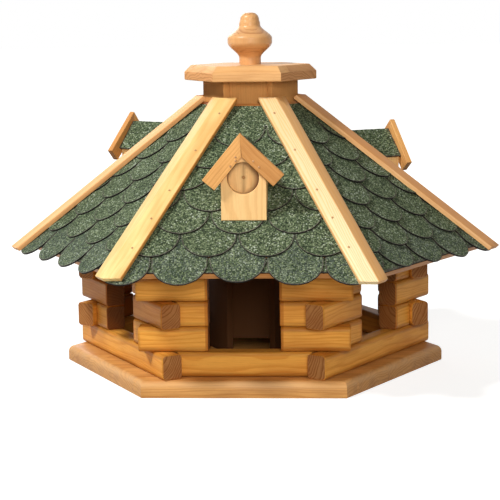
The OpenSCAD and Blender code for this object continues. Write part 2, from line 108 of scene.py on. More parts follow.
# Feet of the nails, out of the roof boards and out of the dormers' faces
CAP_NAIL_FOOT, GABLE_NAIL_FOOT = -7.0, -15.0
LID_A = (SILO_R + 22.3) * C30
LID_T, LID_CHAMFER = 18.1, 8.0
LID_CHAMFER_IN = 0.93 * LID_CHAMFER
LID_TOP = SILO_TOP + LID_T
# Heights of the knob, and its radii at the foot, belly, neck, where the neck would end, and on top
KNOB_H, FOOT_H, BELLY_H, BELLY_END, NECK_H, NECK_END, BUTTON_H = 62.0, 7.5, 26.5, 31.0, 47.5, 57.0, 53.5
FOOT_R, BELLY_R, NECK_R, NECK_END_R, FLAT_R = 13.2, 27.0, 12.8, 10.8, 3.0
# How much longer or shorter each log is cut, drawn from in turn
ENDS = [0.8, -1.6, 1.4, -0.6, 2.0, -1.1, 0.3]


def srgb(color):
    """A screen colour, 0 to 255, as linear light."""
    def lin(v):
        v /= 255
        return v / 12.92 if v <= 0.04045 else ((v + 0.055) / 1.055) ** 2.4
    return (*map(lin, color), 1)


def turn(deg):
    return Matrix.Rotation(math.radians(deg), 4, "Z")


def slope_frame(side):
    """x along the eave, y up the slope, z out of the roof boards."""
    return turn(60 * side) @ Matrix.Translation((0, -EAVE_A, EAVE_Z)) @ Matrix.Rotation(PITCH, 4, "X")


def half_w(s):
    """Half the width of a slope at a distance up from its eave."""
    return (EAVE_A - s * math.cos(PITCH)) * T30


def dormer_frame(i):
    """Origin at the foot of a dormer's face, y into the roof, z up."""
    z = EAVE_Z + (EAVE_A - DORMER_FACE[i]) * math.tan(PITCH) + LIFT / math.cos(PITCH)
    return turn(120 * i) @ Matrix.Translation((DORMER_X[i], -DORMER_FACE[i], z))


# Materials

class Nodes:
    """Short hand for the node tree of a material or a world, which ends in one shader."""

    def __init__(self, owner, shader="BsdfPrincipled", output="OutputMaterial"):
        self.owner = owner
        owner.use_nodes = True
        self.tree = owner.node_tree
        self.tree.nodes.clear()
        self.shader = self.add(shader)
        self.add(output, {0: self.shader.outputs[0]})

    def fill(self, node, sockets):
        """Links or sets a node's inputs, by name or by number."""
        for key, value in dict(sockets).items():
            if isinstance(value, bpy.types.NodeSocket):
                self.tree.links.new(value, node.inputs[key])
            else:
                node.inputs[key].default_value = value

    def add(self, kind, sockets=(), **props):
        node = self.tree.nodes.new("ShaderNode" + kind)
        for key, value in props.items():
            setattr(node, key, value)
        self.fill(node, sockets)
        return node

    def math(self, op, *values):
        return self.add("Math", enumerate(values), operation=op).outputs[0]

    def times(self, a, b):
        return self.math("MULTIPLY", a, b)

    def plus(self, a, b):
        return self.math("ADD", a, b)

    def attr(self, name, output="Fac"):
        return self.add("Attribute", attribute_name=name).outputs[output]

    def split(self, vector):
        return self.add("SeparateXYZ", {0: vector}).outputs

    def join(self, *axes):
        return self.add("CombineXYZ", enumerate(axes)).outputs[0]

    def stretch(self, axes, along, across, op="MULTIPLY"):
        """A place in the wood, scaled by one number along the grain and by another across it."""
        return self.join(*(self.math(op, axis, by) for axis, by in zip(axes, (along, across, across))))

    def noise(self, vector, scale=1.0, detail=2.0, rough=0.5):
        sockets = {"Vector": vector, "Scale": scale, "Detail": detail, "Roughness": rough}
        return self.add("TexNoise", sockets).outputs["Fac"]

    def voronoi(self, vector, scale=1.0):
        return self.add("TexVoronoi", {"Vector": vector, "Scale": scale}).outputs

    def ramp(self, fac, stops):
        node = self.add("ValToRGB", {0: fac})
        elements = node.color_ramp.elements
        while len(elements) < len(stops):
            elements.new(0.5)
        for element, (pos, color) in zip(elements, stops):
            element.position = pos
            element.color = color
        return node.outputs[0]

    def fit(self, value, a, b, c=0.0, d=1.0, smooth=False):
        """Carries a to b over to c to d, and holds the ends."""
        curve = "SMOOTHSTEP" if smooth else "LINEAR"
        sockets = enumerate((value, a, b, c, d))
        return self.add("MapRange", sockets, clamp=True, interpolation_type=curve).outputs[0]

    def mix(self, fac, a, b):
        return self.add("Mix", {0: fac, 6: a, 7: b}, data_type="RGBA").outputs[2]

    def bump(self, height, strength, distance):
        """The shader's normal, from a height."""
        sockets = {"Height": height, "Strength": strength, "Distance": distance}
        return self.add("Bump", sockets).outputs[0]

    def seen(self):
        """1 for rays that come straight from the camera or by way of a mirror or glass."""
        path = self.add("LightPath").outputs
        either = self.math("MAXIMUM", path["Is Camera Ray"], path["Is Glossy Ray"])
        return self.math("MAXIMUM", either, path["Is Transmission Ray"])


# Patterns in wood, as steps of noise per mm along the grain and across it
WANDER, CLOUDS, FIBRE, PORES = (0.007, 0.035), (0.012, 0.05), (0.035, 1.5), (0.16, 2.6)
# Each cell of this length and width, in mm, may hold a knot, which pushes the rings aside
KNOT_CELL, KNOT_PUSH = (88.0, 34.0), 7.0
# How far, in mm, the pith wanders and the width of the rings swells
PITH_WANDER, RING_SWELL = 16.0, 22.0


def wood(name, light, mid, dark, knot, *, period, lines, streaks, tone, knots, knot_size=1.0, end_dark=0.5,
         end_lines=0.95, rough=(0.42, 0.6), bump=0.25, coat=0, boards=0, edge=None, ends=None, shine=0.18):
    """Solid wood: growth rings round a pith that runs along x of the 'grain' attribute, in mm.
    light and mid are its early and late wood, ends gives cut ends their own two, boards is the width
    of a panel's staves, and edge a colour for edges and its share."""
    light, mid, dark, knot = map(srgb, (light, mid, dark, knot))
    n = Nodes(bpy.data.materials.new(name))
    x, y, z = n.split(n.attr("grain", "Vector"))
    if boards:
        # Glued up panel: each stave has its own tone and its own grain
        drift = n.times(n.math("SINE", n.math("DIVIDE", y, 31.0)), 6.0)
        stave = n.math("FLOOR", n.math("DIVIDE", n.plus(y, drift), boards))
        board_tone = n.add("TexWhiteNoise", {"W": stave}, noise_dimensions="1D").outputs["Value"]
        x = n.plus(x, n.times(stave, 217.0))
        y = n.plus(n.math("MODULO", y, boards), n.times(board_tone, 40.0))
    place = (x, y, z)

    # Knots sit in stretched cells, and only in some of them
    cells = n.voronoi(n.stretch(place, *KNOT_CELL, "DIVIDE"))
    pick = n.math("GREATER_THAN", n.split(cells["Color"])[0], knots)

    def around_knot(inner, outer):
        return n.times(n.fit(cells["Distance"], inner, outer, 1, 0, True), pick)

    # Rings: the distance from a wandering pith, with late wood at the end of each period
    off = n.math("SUBTRACT", n.noise(n.stretch(place, *WANDER), detail=2.5), 0.5)
    radius = n.math("SQRT", n.plus(n.times(y, y), n.times(z, z)))
    radius = n.plus(radius, n.times(off, PITH_WANDER))
    radius = n.plus(radius, n.times(around_knot(0.09, 0.4), KNOT_PUSH))
    swell = n.noise(n.join(0.0, 0.0, n.times(radius, 0.045)), detail=1.5)
    ring = n.plus(radius, n.times(swell, RING_SWELL))
    ring = n.math("FRACT", n.math("DIVIDE", ring, period))
    late = n.times(n.fit(ring, 0.35, 0.86, 0, 1, True), n.fit(ring, 0.9, 1.0, 1, 0, True))

    fibre = n.noise(n.stretch(place, *FIBRE), detail=3, rough=0.6)
    clouds = n.noise(n.stretch(place, *CLOUDS))
    pores = n.noise(n.stretch(place, *PORES))
    end = n.attr("end")
    color = light
    for where, share, other in ((late, n.fit(end, 0.0, 1.0, lines, end_lines), mid),
                                (n.fit(clouds, 0.38, 0.72, 0, 1, True), tone, dark),
                                (n.fit(fibre, 0.42, 0.75), streaks, dark),
                                (n.fit(pores, 0.62, 0.78), 0.35, dark),
                                (around_knot(0.1 * knot_size, 0.22 * knot_size), 0.75, mid)):
        color = n.mix(n.times(where, share), color, other)
    color = n.mix(around_knot(0.05 * knot_size, 0.12 * knot_size), color, knot)
    if boards:
        color = n.mix(n.times(board_tone, 0.3), color, dark)
    # The 'tone' attribute darkens towards dark, and cut ends towards knot: each piece's own tone, and painted
    # shade where the builders set it high
    piece = n.attr("tone")
    color = n.mix(n.fit(piece, 0.0, 1.8, 0.0, 0.99), color, dark)
    if ends:
        early_end, late_end = map(srgb, ends)
        cut_wood = n.mix(n.fit(fibre, 0.42, 0.8, 0, 0.4), n.mix(late, early_end, late_end), late_end)
        color = n.mix(n.times(end, end_dark), color, cut_wood)
        end_shade = n.fit(piece, 0.8, 1.8, 0.0, 0.92)
    else:
        end_shade = n.fit(late, 0, 1, end_dark * 0.75, min(1.0, end_dark * 1.15))
    color = n.mix(n.times(end, end_shade), color, knot)
    if edge:
        patchy = n.times(n.attr("edge"), n.fit(clouds, 0.3, 0.6, 0.35, 1.0))
        color = n.mix(n.times(patchy, edge[1]), color, srgb(edge[0]))
    height = n.math("SUBTRACT", n.times(fibre, 0.8), n.times(late, 0.4))
    n.fill(n.shader, {"Base Color": color, "Roughness": n.fit(fibre, 0.3, 0.8, *rough),
                      "Normal": n.bump(height, bump, 0.0006), "Specular IOR Level": shine,
                      "Coat Weight": coat, "Coat Roughness": 0.35})
    return n.owner


# Where each shade of granule, from dark to pale, comes in
GRANULE_STEPS = (0.12, 0.5, 0.84, 0.96)


def felt(name, *granules, slate, band, gap, core_and_shadow):
    """Roofing felt: granules from dark to pale, bare along each cut edge, with near black cut walls: the
    bitumen core, partly painted shadow under the tab edges.
    """
    slate, band, gap, core_and_shadow = map(srgb, (slate, band, gap, core_and_shadow))
    n = Nodes(bpy.data.materials.new(name))
    grain = n.attr("grain", "Vector")
    cells = n.voronoi(grain, 0.62)
    pick, pick2, _ = n.split(cells["Color"])
    blotch = n.math("SUBTRACT", n.noise(grain, 0.03, 3, 0.6), 0.5)
    value = n.plus(n.times(pick, 0.75), n.times(n.noise(grain, 2.2, 2, 0.7), 0.35))
    color = n.ramp(n.plus(value, n.times(blotch, 0.35)), list(zip(GRANULE_STEPS, map(srgb, granules))))
    # The lowest rows have more slate grey among the green
    color = n.mix(n.times(n.attr("tone"), n.math("GREATER_THAN", pick2, 0.45)), color, slate)
    color = n.mix(n.fit(cells["Distance"], 0.42, 0.75, 0, 0.75), color, gap)
    torn = n.times(n.math("SUBTRACT", n.noise(grain, 0.28, 3), 0.5), 0.9)
    cut = n.fit(n.plus(n.attr("edge"), torn), 0.62, 0.86)
    color = n.mix(n.times(cut, 0.7), color, band)
    # Cut walls near black: the bitumen core, darkened to stand in for the shadow line under each tab, painted
    # shadow
    color = n.mix(n.times(n.attr("end"), 0.95), color, core_and_shadow)
    height = n.plus(n.fit(cells["Distance"], 0.0, 0.8, 1, 0), n.times(pick2, 0.8))
    n.fill(n.shader, {"Base Color": color, "Roughness": 0.92, "Specular IOR Level": 0.2,
                      "Normal": n.bump(height, 0.8, 0.0009)})
    return n.owner


def steel(name, color, rust, rough, metal):
    n = Nodes(bpy.data.materials.new(name))
    grain = n.attr("grain", "Vector")
    spots = n.noise(grain, 0.9, 4, 0.7)
    n.fill(n.shader, {"Base Color": n.mix(n.fit(spots, 0.45, 0.7), srgb(color), srgb(rust)),
                      "Metallic": metal,
                      "Roughness": n.fit(spots, 0.3, 0.7, rough - 0.1, rough + 0.25),
                      "Normal": n.bump(n.noise(grain, 2.0, 3), 0.2, 0.0003)})
    return n.owner


MATS = {
    "log": wood(
        "stained_log", (244, 178, 78), (214, 134, 36), (174, 94, 16), (62, 30, 14), period=3.6, lines=0.5,
        streaks=0.34, tone=0.36, knots=0.72, end_dark=0.88, coat=0.02, edge=((134, 72, 18), 0.5),
        ends=((176, 124, 76), (116, 70, 34))),
    "cap_yellow": wood(
        "pale_cap", (244, 222, 154), (240, 200, 122), (218, 148, 74), (146, 84, 36), period=5.2, lines=0.4,
        streaks=0.22, tone=0.45, knots=0.5, knot_size=0.7, end_dark=0.2, coat=0.02),
    "cap_cream": wood(
        "cream_cap", (244, 228, 186), (232, 200, 134), (234, 166, 86), (150, 92, 44), period=2.3, lines=0.7,
        streaks=0.1, tone=0.12, knots=0.84, end_dark=0.2, coat=0.02),
    "cap_orange": wood(
        "orange_cap", (246, 196, 140), (232, 166, 100), (204, 136, 74), (140, 82, 38), period=4.6,
        lines=0.4, streaks=0.2, tone=0.25, knots=0.86, end_dark=0.25, coat=0.02),
    # Its edge colour darkens the hole: painted shade round the rim, a grain streak and the drill mark
    "dormer": wood(
        "dormer_softwood", (252, 208, 144), (230, 172, 104), (190, 130, 74), (96, 54, 26), period=5.0,
        lines=0.32, streaks=0.2, tone=0.08, knots=0.86, end_dark=0.3, edge=((108, 60, 26), 1.0)),
    "gable": wood(
        "gable_board", (238, 180, 110), (208, 140, 72), (164, 98, 44), (98, 56, 26), period=3.4, lines=0.4,
        streaks=0.3, tone=0.3, knots=0.8),
    "base": wood(
        "base_panel", (222, 164, 94), (190, 124, 58), (144, 86, 36), (92, 52, 26), period=3.4, lines=0.5,
        streaks=0.35, tone=0.4, knots=0.84, end_dark=0.15, end_lines=0.5, boards=58.0,
        edge=((228, 188, 140), 0.45)),
    # The boards' dark colour is what they take inside the house and high on the left front neck: painted
    # shade and painted shadow of the lid
    "silo": wood(
        "silo_board", (218, 158, 94), (196, 132, 72), (70, 42, 24), (50, 28, 14), period=1.6, lines=0.2,
        streaks=0.12, tone=0.08, knots=0.98, end_dark=0.3, rough=(0.7, 0.85), shine=0.08),
    "roof": wood(
        "roof_board", (204, 142, 80), (178, 116, 58), (136, 84, 38), (84, 46, 20), period=3.8, lines=0.55,
        streaks=0.4, tone=0.4, knots=0.88, end_dark=0.4),
    "lid": wood(
        "lid_board", (230, 178, 118), (208, 148, 86), (172, 110, 58), (110, 64, 34), period=4.6, lines=0.36,
        streaks=0.28, tone=0.3, knots=0.9, end_dark=0.9, coat=0.02, ends=((212, 152, 96), (184, 126, 72))),
    "knob": wood(
        "turned_knob", (222, 168, 110), (200, 140, 82), (166, 108, 58), (120, 70, 38), period=4.2,
        lines=0.13, streaks=0.2, tone=0.18, knots=0.97, end_dark=0.2, rough=(0.3, 0.44), bump=0.12,
        coat=0.1, shine=0.3),
    "dowel": wood(
        "beech_dowel", (222, 188, 140), (204, 164, 112), (180, 140, 92), (150, 110, 70), period=2.0,
        lines=0.3, streaks=0.3, tone=0.2, knots=0.99),
    # The felt's near black core colour is partly painted shadow under the tab edges
    "felt": felt(
        "green_granules", (40, 54, 37), (90, 106, 76), (138, 152, 116), (188, 200, 182),
        slate=(102, 110, 114), band=(92, 84, 80), gap=(16, 22, 19), core_and_shadow=(18, 18, 17)),
    "nail": steel("nail_steel", (196, 150, 104), (146, 100, 62), 0.6, 0.2),
    "screw": steel("zinc_steel", (176, 178, 180), (140, 140, 140), 0.35, 0.85),
}


# Meshes

def add_object(name, data):
    obj = bpy.data.objects.new(name, data)
    bpy.context.scene.collection.objects.link(obj)
    return obj


def new_mesh():
    """An empty mesh and the four attributes that the materials read."""
    bm = bmesh.new()
    points, faces = bm.verts.layers, bm.faces.layers
    return (bm, points.float_vector.new("grain"), points.float.new("edge"), faces.float.new("end"),
            faces.float.new("tone"))


class Piece:
    """Collects shapes in their own frames."""

    def __init__(self, name):
        self.name = name
        self.bm = new_mesh()[0]

    def take(self, verts, faces, place, seed, pith=(40, 25), axes=(0, 1, 2), tone=0.0, edge=None, clip=(),
             sheet=False):
        """Adds a shape. axes says which local axes are the grain's x, y and z, pith how far off the
        pith runs in y and z, and sheet marks a thin sheet's cut walls as its ends."""
        rng = random.Random(seed)
        shift = Vector((rng.uniform(0, 3000), pith[0] + rng.uniform(-12, 12), pith[1] + rng.uniform(-8, 8)))
        part, grain, edge_layer, end, tone_layer = new_mesh()
        made = []
        for i, co in enumerate(verts):
            v = part.verts.new(co)
            v[grain] = Vector([co[axis] for axis in axes]) + shift
            v[edge_layer] = 0.0 if edge is None else edge[i]
            made.append(v)
        for f in faces:
            if len(set(f)) > 2:
                part.faces.new([made[i] for i in f])
        bmesh.ops.recalc_face_normals(part, faces=part.faces)
        for f in part.faces:
            f[tone_layer] = tone(f.calc_center_median()) if callable(tone) else tone
            cut_wall = abs(f.normal.z) < 0.6 if sheet else abs(f.normal[axes[0]]) > 0.75
            f[end] = 1.0 if cut_wall else 0.0
        part.transform(place)
        for point, normal in clip:
            whole = part.verts[:] + part.edges[:] + part.faces[:]
            cut = bmesh.ops.bisect_plane(part, geom=whole, dist=1e-6, plane_co=point, plane_no=normal,
                                         clear_outer=True)
            edges = [g for g in cut["geom_cut"] if isinstance(g, bmesh.types.BMEdge)]
            bmesh.ops.holes_fill(part, edges=edges, sides=0)
        scratch = bpy.data.meshes.new("scratch")
        part.to_mesh(scratch)
        part.free()
        self.bm.from_mesh(scratch)
        bpy.data.meshes.remove(scratch)

    def done(self, material, node, slot, body="house", angle=32):
        """Makes the object, which rides on its body in place of its CAD node."""
        mesh = bpy.data.meshes.new(self.name)
        self.bm.transform(Matrix.Scale(0.001, 4))
        self.bm.to_mesh(mesh)
        self.bm.free()
        mesh.shade_smooth()
        mesh.set_sharp_from_angle(angle=math.radians(angle))
        mesh.materials.append(MATS[material])
        obj = add_object(self.name, mesh)
        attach(obj, body)
        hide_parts(node)


def walls(rings, count):
    """Quads between rings of points that follow each other in one list."""
    faces = []
    for i in range(0, (rings - 1) * count, count):
        for j in range(count):
            k = (j + 1) % count
            faces.append((i + j, i + k, i + count + k, i + count + j))
    return faces


def tube(rings, count):
    """The same with both ends closed."""
    return walls(rings, count) + [tuple(range(count)), tuple(range((rings - 1) * count, rings * count))]


def circle(count):
    angles = [2 * math.pi * j / count for j in range(count)]
    return [(math.cos(a), math.sin(a)) for a in angles]


def loft(profile, start, stop, rings, rough, seed, chamfer, flank=0.0):
    """Runs a closed outline in y and z along x, from start(y, z) to stop(y, z).
    rough dents the surface inwards by up to that much, chamfer breaks the end edges, and flank adds
    a ring at that share of the length from either end."""
    count = len(profile)
    cy = sum(p[0] for p in profile) / count
    cz = sum(p[1] for p in profile) / count
    inner = [i / rings for i in range(1, rings)]
    if flank:
        inner = [flank] + [t for t in inner if flank * 1.5 < t < 1 - flank * 1.5] + [1 - flank]
    # Each station: share of the length, and how far its ring is moved along and drawn in
    stations = [(0.0, 0.0, chamfer * 0.8), (0.0, chamfer, 0.0)] + [(t, 0.0, 0.0) for t in inner]
    stations += [(1.0, -chamfer, 0.0), (1.0, 0.0, chamfer * 0.8)]
    verts = []
    for t, along, inset in stations:
        for y, z in profile:
            a, b = start(y, z), stop(y, z)
            x = a + (b - a) * t
            push = inset
            if rough:
                push += rough * (0.5 + 0.5 * noise.noise(Vector((x * 0.03 + seed * 7.3, y * 0.12, z * 0.12))))
            dy, dz = cy - y, cz - z
            size = math.hypot(dy, dz) or 1.0
            verts.append((x + along, y + dy / size * push, z + dz / size * push))
    return verts, tube(len(stations), count)


def round_box(w, h, r, steps, off=(0, 0), flank=0.0):
    """Outline of a w by h rectangle with its middle at the origin in y and its foot there in z.
    flank adds a point on the flat that far from each rounded corner."""
    points = []
    x, top = w / 2 - r, h - r
    for cx, cz, a0 in ((x, top, 0), (-x, top, 90), (-x, r, 180), (x, r, 270)):
        for i in range(steps + 1):
            a = math.radians(a0 + 90 * i / steps)
            here = Vector((cx + r * math.cos(a) + off[0], cz + r * math.sin(a) + off[1]))
            along = Vector((-math.sin(a), math.cos(a))) * flank
            if flank and i == 0:
                points.append(tuple(here - along))
            points.append(tuple(here))
            if flank and i == steps:
                points.append(tuple(here + along))
    return points


def soften(points, r):
    """Cuts each corner of an outline by a short step r."""
    out = []
    for i, p in enumerate(points):
        a, b = Vector(points[i - 1]), Vector(points[(i + 1) % len(points)])
        q = Vector(p)
        out.append(tuple(q + (a - q).normalized() * r))
        out.append(tuple(q + (b - q).normalized() * r))
    return out


# Log walls

def is_long(side, level):
    """Whether the log runs past the corners, which changes from side to side and level to level."""
    return (side % 2 == 1) == (level % 2 == 0)


def vary(side, level, end):
    return ENDS[(side * 5 + level * 3 + end * 2) % len(ENDS)]


def log_end(side, level, end):
    """How far a log runs from the middle of its side, past the corner."""
    over = 30.0 if side % 2 else 25.7
    return WALL_MID * T30 + over + vary(side, level, end)


def butt(y):
    """Where a butt log meets its neighbour's inner face, y inwards from the wall's middle."""
    return (WALL_IN - (WALL_MID - y) / 2) / C30


def add_log(piece, side, level, x0, x1, seed):
    long_ = is_long(side, level)
    wave = random.Random(seed * 31 + 7)
    corner_steps = 5
    outline = round_box(LOG_W, LOG_H, LOG_ROUND + wave.uniform(-0.6, 1.2), corner_steps, flank=2.2)
    start = (lambda y, z: x0) if long_ or x0 > 0 else (lambda y, z: -butt(y))
    stop = (lambda y, z: x1) if long_ or x1 < 0 else (lambda y, z: butt(y))
    length = abs(x1 - x0)
    verts, faces = loft(outline, start, stop, max(6, int(length / 9)), 0.45, seed, 0.9, 3.0 / length)
    # Stain gathers on the rounded corners and at the cut ends
    per_corner = corner_steps + 3
    around = [0.0 if j % per_corner in (0, per_corner - 1) else 1.0 for j in range(len(outline))]
    rings = len(verts) // len(outline)
    edge = []
    for ring in range(rings):
        edge += around if 1 < ring < rings - 2 else [1.0] * len(outline)
    shade = wave.uniform(0, 0.4)
    # The two upper courses of the left front wall are darkened: painted shadow of the roof's eave
    if side == 5 and level > 1:
        shade = 0.85
    inner_shade = 1.7
    jamb_shade = inner_shade if side == 5 and x0 < 0 else 1.2

    def tone(p):
        # Inner faces and window jambs are darkened: painted shade inside the house and in the window
        # openings, deepest at the left jamb of the left front wall's window
        if abs(p.x) < WINDOW / 2 + 3:
            return jamb_shade if x0 < 0 < -x1 or x1 > 0 > -x0 else shade
        return inner_shade if p.y > LOG_W / 2 - 1.5 and abs(p.x) < WALL_IN * T30 else shade

    place = turn(60 * side) @ Matrix.Translation((0, -WALL_MID, BASE_T + level * LOG_H))
    piece.take(verts, faces, place, seed, (wave.choice((34, -38, 30)), wave.choice((26, -42, -30))),
               tone=tone if level else shade, edge=edge)


for side in range(6):
    sill = Piece(SIDES[side] + "_sill")
    add_log(sill, side, 0, -log_end(side, 0, 0), log_end(side, 0, 1), 100 + side)
    sill.done("log", SIDES[side] + "_sill_log", "log_wood")
    for level, word in ((1, "low"), (2, "mid"), (3, "top")):
        pair = Piece(f"{SIDES[side]}_{word}_pair")
        left, right = (WINDOW / 2 + vary(side, level, end) * 0.4 for end in (2, 3))
        seed = 200 + side * 10 + level
        add_log(pair, side, level, -log_end(side, level, 0), -left, seed)
        add_log(pair, side, level, right, log_end(side, level, 1), seed + 100)
        pair.done("log", f"{SIDES[side]}_{word}_logs", "log_wood")


# Base plate

def hex_rings(levels, centre_z0, centre_z1, split):
    """A closed body from hexagons, each (distance to the flat, height), with split points a side."""
    verts = []
    turns = [math.radians(60 * k) for k in range(7)]
    for a, z in levels:
        corners = [Vector((a / C30 * math.cos(t), a / C30 * math.sin(t), z)) for t in turns]
        for p, q in zip(corners, corners[1:]):
            verts += [tuple(p.lerp(q, j / split)) for j in range(split)]
    count = 6 * split
    faces = walls(len(levels), count)
    low, high, top = len(verts), len(verts) + 1, (len(levels) - 1) * count
    verts += [(0, 0, centre_z0), (0, 0, centre_z1)]
    for j in range(count):
        k = (j + 1) % count
        faces += [(j, k, low), (top + j, top + k, high)]
    return verts, faces


# From the underside over the rounded edge to the middle
base = Piece("base_panel")
levels = [(80, 0), (BASE_A - 1.2, 0), (BASE_A - 0.3, 0.4), (BASE_A, 1.4)]
for deg in range(0, 91, 15):
    out, up = math.cos(math.radians(deg)), math.sin(math.radians(deg))
    levels.append((BASE_A - BASE_ROUND + BASE_ROUND * out, BASE_T - BASE_ROUND + BASE_ROUND * up))
levels += [(150, BASE_T), (80, BASE_T)]
split = 12
verts, faces = hex_rings(levels, 0, BASE_T, split)
# How pale each ring is painted, most over the rounded top edge, then the two middle points
pale_band = [0.0] * 4 + [0.3, 0.8, 1.0, 1.0, 0.8, 0.4, 0.0, 0.0, 0.0]
edge = [w for w in pale_band for _ in range(6 * split)] + [0.0, 0.0]
base.take(verts, faces, Matrix.Identity(4), 11, (60, 70), edge=edge)
base.done("base", "base_plate", "base_wood")


# Feed silo

def silo_tone_and_shade(upper):
    """The boards are darkened inside the house, painted shade, and each has its own tone on the neck above
    the roof, which on the left front board is painted shadow of the lid; the foot of the neck and the boards'
    long edges are left light."""
    def tone(p):
        # Painted shade on the boards inside the house
        if p.z < NECK_Z - 14:
            return 1.75
        return 0.0 if p.z < NECK_Z + 4.5 or abs(p.x) > SILO_R / 2 - 0.5 else upper
    return tone


def add_board(piece, side, outline, foot, order, place, seed, upper):
    """A board of the silo. Its outline is drawn flat and order turns it upright."""
    verts, faces = loft(outline, lambda y, z: foot, lambda y, z: SILO_TOP, 80, 0, side, 0.4)
    verts = [tuple(v[axis] for axis in order) for v in verts]
    piece.take(verts, faces, turn(60 * side) @ place, seed + side, (50, 30), (2, 0, 1), tone=silo_tone_and_shade(upper))


tall, short = Piece("silo_tall"), Piece("silo_short")
outline = round_box(SILO_T, SILO_R, 0.7, 2, (0, -SILO_R / 2))
place = Matrix.Translation((0, -SILO_A + SILO_T / 2, 0))
# The left front board's neck tone is painted shadow of the lid
for side, upper in ((1, 0.12), (3, 0.15), (5, 0.75)):
    add_board(tall, side, outline, BASE_T, (2, 1, 0), place, 400, upper)
tall.done("silo", "silo_tall_boards", "silo_board")

x0, y0 = SILO_R / 2 - SILO_T * C30, SILO_A - SILO_T / 2
x1, y1 = x0 + SILO_T * T30, SILO_T - y0
outline = soften([(-x0, -y0), (x0, -y0), (x1, y1), (-x1, y1)], 0.4)
for side, upper in ((0, 0.05), (2, 0.12), (4, 0.15)):
    add_board(short, side, outline, BASE_T + SLOT_H, (1, 2, 0), Matrix.Identity(4), 410, upper)
short.done("silo", "silo_short_boards", "silo_board")


# Roof

def tip(i):
    return -LIP if i == 0 else FIRST_TIP + (i - 1) * ROW_SHOW


def side_tip(side, i):
    return tip(i) + (ROWS_UP[side] if i else 0)


def row_len(side, i):
    if i == ROWS - 1:
        return NECK_S - 5.4 - side_tip(side, i)
    return side_tip(side, i + 2) - side_tip(side, i)


def row_sheet(side, i, seed):
    """One strip of felt with rounded tabs: points, faces and how near each point is to a cut edge."""
    rng = random.Random(seed)
    lowest = i == 0
    strip = (side_tip(side, 1) - tip(0) if lowest else ROW_SHOW) + 2
    if lowest:
        strip = max(strip, TAB_R + LOW_BACK[side] + 90 * abs(LOW_TURN[side]) + 0.5)
    length = row_len(side, i) + (0 if i == ROWS - 1 else 4)
    # Each tab is rings of points about its middle: share of the radius, and nearness to the edge
    shares, near = (1.0, 0.985, 0.9, 0.6, 0.3), [1.0, 1.0, 0.0, 0.0, 0.0]
    steps, far = 26, 220
    points, faces, edge = [], [], []
    before = None

    def add(x, y, lift=0.0, e=0.0):
        points.append((x, y, lift))
        edge.append(e)
        return len(points) - 1

    for k in range(-4, 5):
        x = SHIFT[i] + k * TAB_PITCH + (LOW_ALONG[side] if lowest else 0)
        if abs(x) - TAB_R >= half_w(tip(i) + 18) - 3:
            continue
        up = 0
        if lowest:
            up = max(LOW_BACK[side] + LOW_TURN[side] * x + (0 if k else MID_CUT[side]), 0) - 0.2
        cx = x + rng.uniform(-0.5, 0.5)
        droop = rng.uniform(-0.25, 0.25) + (0 if lowest else CURL[side])
        wob = rng.uniform(0, 9)
        rings = []
        for share, e in zip(shares, near):
            ring = []
            for s in range(steps + 1):
                a = math.pi + math.pi * s / steps
                r = TAB_R * share
                if share > 0.9:
                    r -= 0.35 + 0.35 * noise.noise(Vector((s * 0.7, wob, i)))
                py = TAB_R + r * math.sin(a)
                low = 1 - py / TAB_R
                ring.append(add(cx + r * math.cos(a), max(py + up, 0.0), droop * low * low, e))
            rings.append(ring)
        mid = add(cx, TAB_R + up)
        for a, b in zip(rings, rings[1:]):
            faces += [(a[s], a[s + 1], b[s + 1], b[s]) for s in range(steps)]
        faces += [(rings[-1][s], rings[-1][s + 1], mid) for s in range(steps)]
        # Columns from the tab's widest line up to the uncut strip and on to the top edge
        lines = [[ring[0] for ring in rings] + [mid] + [ring[-1] for ring in reversed(rings)]]
        line_near = near + [0.0] + near[::-1]
        for y in (strip, strip + 2.5, length):
            lines.append([add(points[v][0], y, 0.0, e) for v, e in zip(lines[0], line_near)])
            line_near = [0.0] * len(line_near)
        for a, b in zip(lines, lines[1:]):
            faces += [(a[j], a[j + 1], b[j + 1], b[j]) for j in range(len(a) - 1)]
        left = [line[0] for line in lines]
        if before is None:
            side_low, side_high = add(-far, strip), add(-far, length)
            faces.append((side_low, *left[1:], side_high))
        else:
            faces += [(before[j], left[j], left[j + 1], before[j + 1]) for j in (1, 2)]
            # Near the hips the slot between two tabs is closed
            if abs(x - TAB_PITCH / 2) > half_w(tip(i) + strip) - 5:
                faces.append((before[0], left[0], left[1], before[1]))
        before = [line[-1] for line in lines]
    side_low, side_high = add(far, strip), add(far, length)
    faces.append((before[1], side_low, side_high, before[3], before[2]))
    return points, faces, edge


def starter_sheet(side):
    """The flat strip under the lowest row, as a grid of points from hip to hip."""
    xs = range(-150, 151, 12)
    points = [(x, y, 0) for y in (0.45 - EAVE_MORE[side], 4, 9, FIRST_TIP + 1.8) for x in xs]
    wide = len(xs)
    faces = [(v, v + 1, v + wide + 1, v + wide) for v in range(len(points) - wide) if (v + 1) % wide]
    return points, faces, [1.0 if y < 1 else 0.0 for _, y, _ in points]


def thicken(points, faces, edge, t):
    """Gives a sheet its thickness t, with walls along every open edge."""
    count = len(points)
    verts = [(x, y, z + t) for x, y, z in points] + points
    out = faces + [tuple(v + count for v in reversed(f)) for f in faces]
    uses = {}
    for f in faces:
        for a, b in zip(f, f[1:] + f[:1]):
            uses.setdefault(frozenset((a, b)), []).append((a, b))
    out += [(a, b, b + count, a + count) for ((a, b), *more) in uses.values() if not more]
    return verts, out, edge + edge


